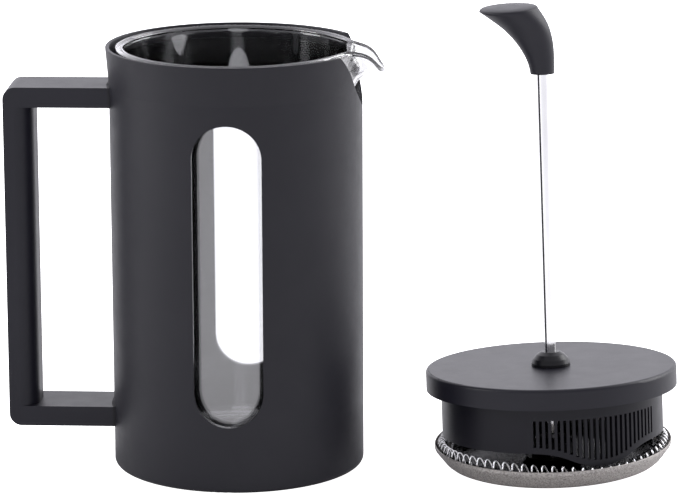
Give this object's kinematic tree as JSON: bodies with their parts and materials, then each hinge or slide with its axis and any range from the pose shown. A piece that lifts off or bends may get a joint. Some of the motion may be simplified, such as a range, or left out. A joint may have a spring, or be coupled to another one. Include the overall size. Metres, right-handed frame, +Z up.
{
  "type": "french press coffee maker",
  "caption": "French press: black plastic jug holder with square handle and glass beaker, its rod, knob, lid and steel filter beside it.",
  "frame": {"origin": "centre of the jug's foot, on the table", "axes": "+X toward the spout, -X toward the handle, +Z up; the plunger stands at +X"},
  "size_m": [0.2823, 0.1086, 0.1955],
  "materials": {
    "black_plastic": "fine satin moulding",
    "silicone": "matte",
    "glass": "clear",
    "steel": "satin",
    "bright_steel": "polished",
    "woven_steel": "fine woven wire",
    "brass": "turned"
  },
  "bodies": {
    "holder": {"holder_sleeve": "black_plastic", "handle": "black_plastic", "arm_pad_upper": "silicone", "arm_pad_lower": "silicone", "handle_screw_upper": "steel", "handle_screw_lower": "steel", "foot_pad": "silicone", "beaker_pad": "silicone"},
    "beaker": {"beaker": "glass"},
    "filter": {"filter_nut": "steel", "cross_plate": "steel", "mesh_screen": "woven_steel", "coil_plate": "steel", "coil_spring": "bright_steel", "filter_hub": "black_plastic"},
    "rod": {"rod": "bright_steel"},
    "knob": {"knob": "black_plastic", "knob_insert": "brass"},
    "bush": {"lid_bush": "black_plastic", "bush_clip": "steel"},
    "lid": {"lid_cap": "black_plastic", "strainer": "black_plastic"}
  },
  "joints": [
    {"name": "beaker_lift", "type": "slide", "parent": "holder", "child": "beaker", "axis": [0, 0, 1], "range_m": [0, 0.19]},
    {"name": "plunger_lift", "type": "slide", "parent": "holder", "child": "filter", "axis": [0, 0, 1], "range_m": [0, 0.2]},
    {"name": "rod_turn", "type": "hinge", "parent": "filter", "child": "rod", "pos_m": [0.13395, -0.0012, 0], "axis": [-0.0365, 0.0615, 0.9974], "range_deg": [0, 1080], "deforming": ["coil_spring", "mesh_screen"]},
    {"name": "knob_turn", "type": "hinge", "parent": "rod", "child": "knob", "pos_m": [0.13395, -0.0012, 0], "axis": [-0.0365, 0.0615, 0.9974], "range_deg": [0, 1080]},
    {"name": "press_stroke", "type": "slide", "parent": "rod", "child": "bush", "axis": [-0.0365, 0.0615, 0.9974], "range_m": [0, 0.117]},
    {"name": "lid_turn", "type": "hinge", "parent": "bush", "child": "lid", "pos_m": [0.13395, -0.0012, 0], "axis": [-0.0365, 0.0615, 0.9974], "continuous": true, "deforming": ["coil_spring", "mesh_screen"]}
  ]
}
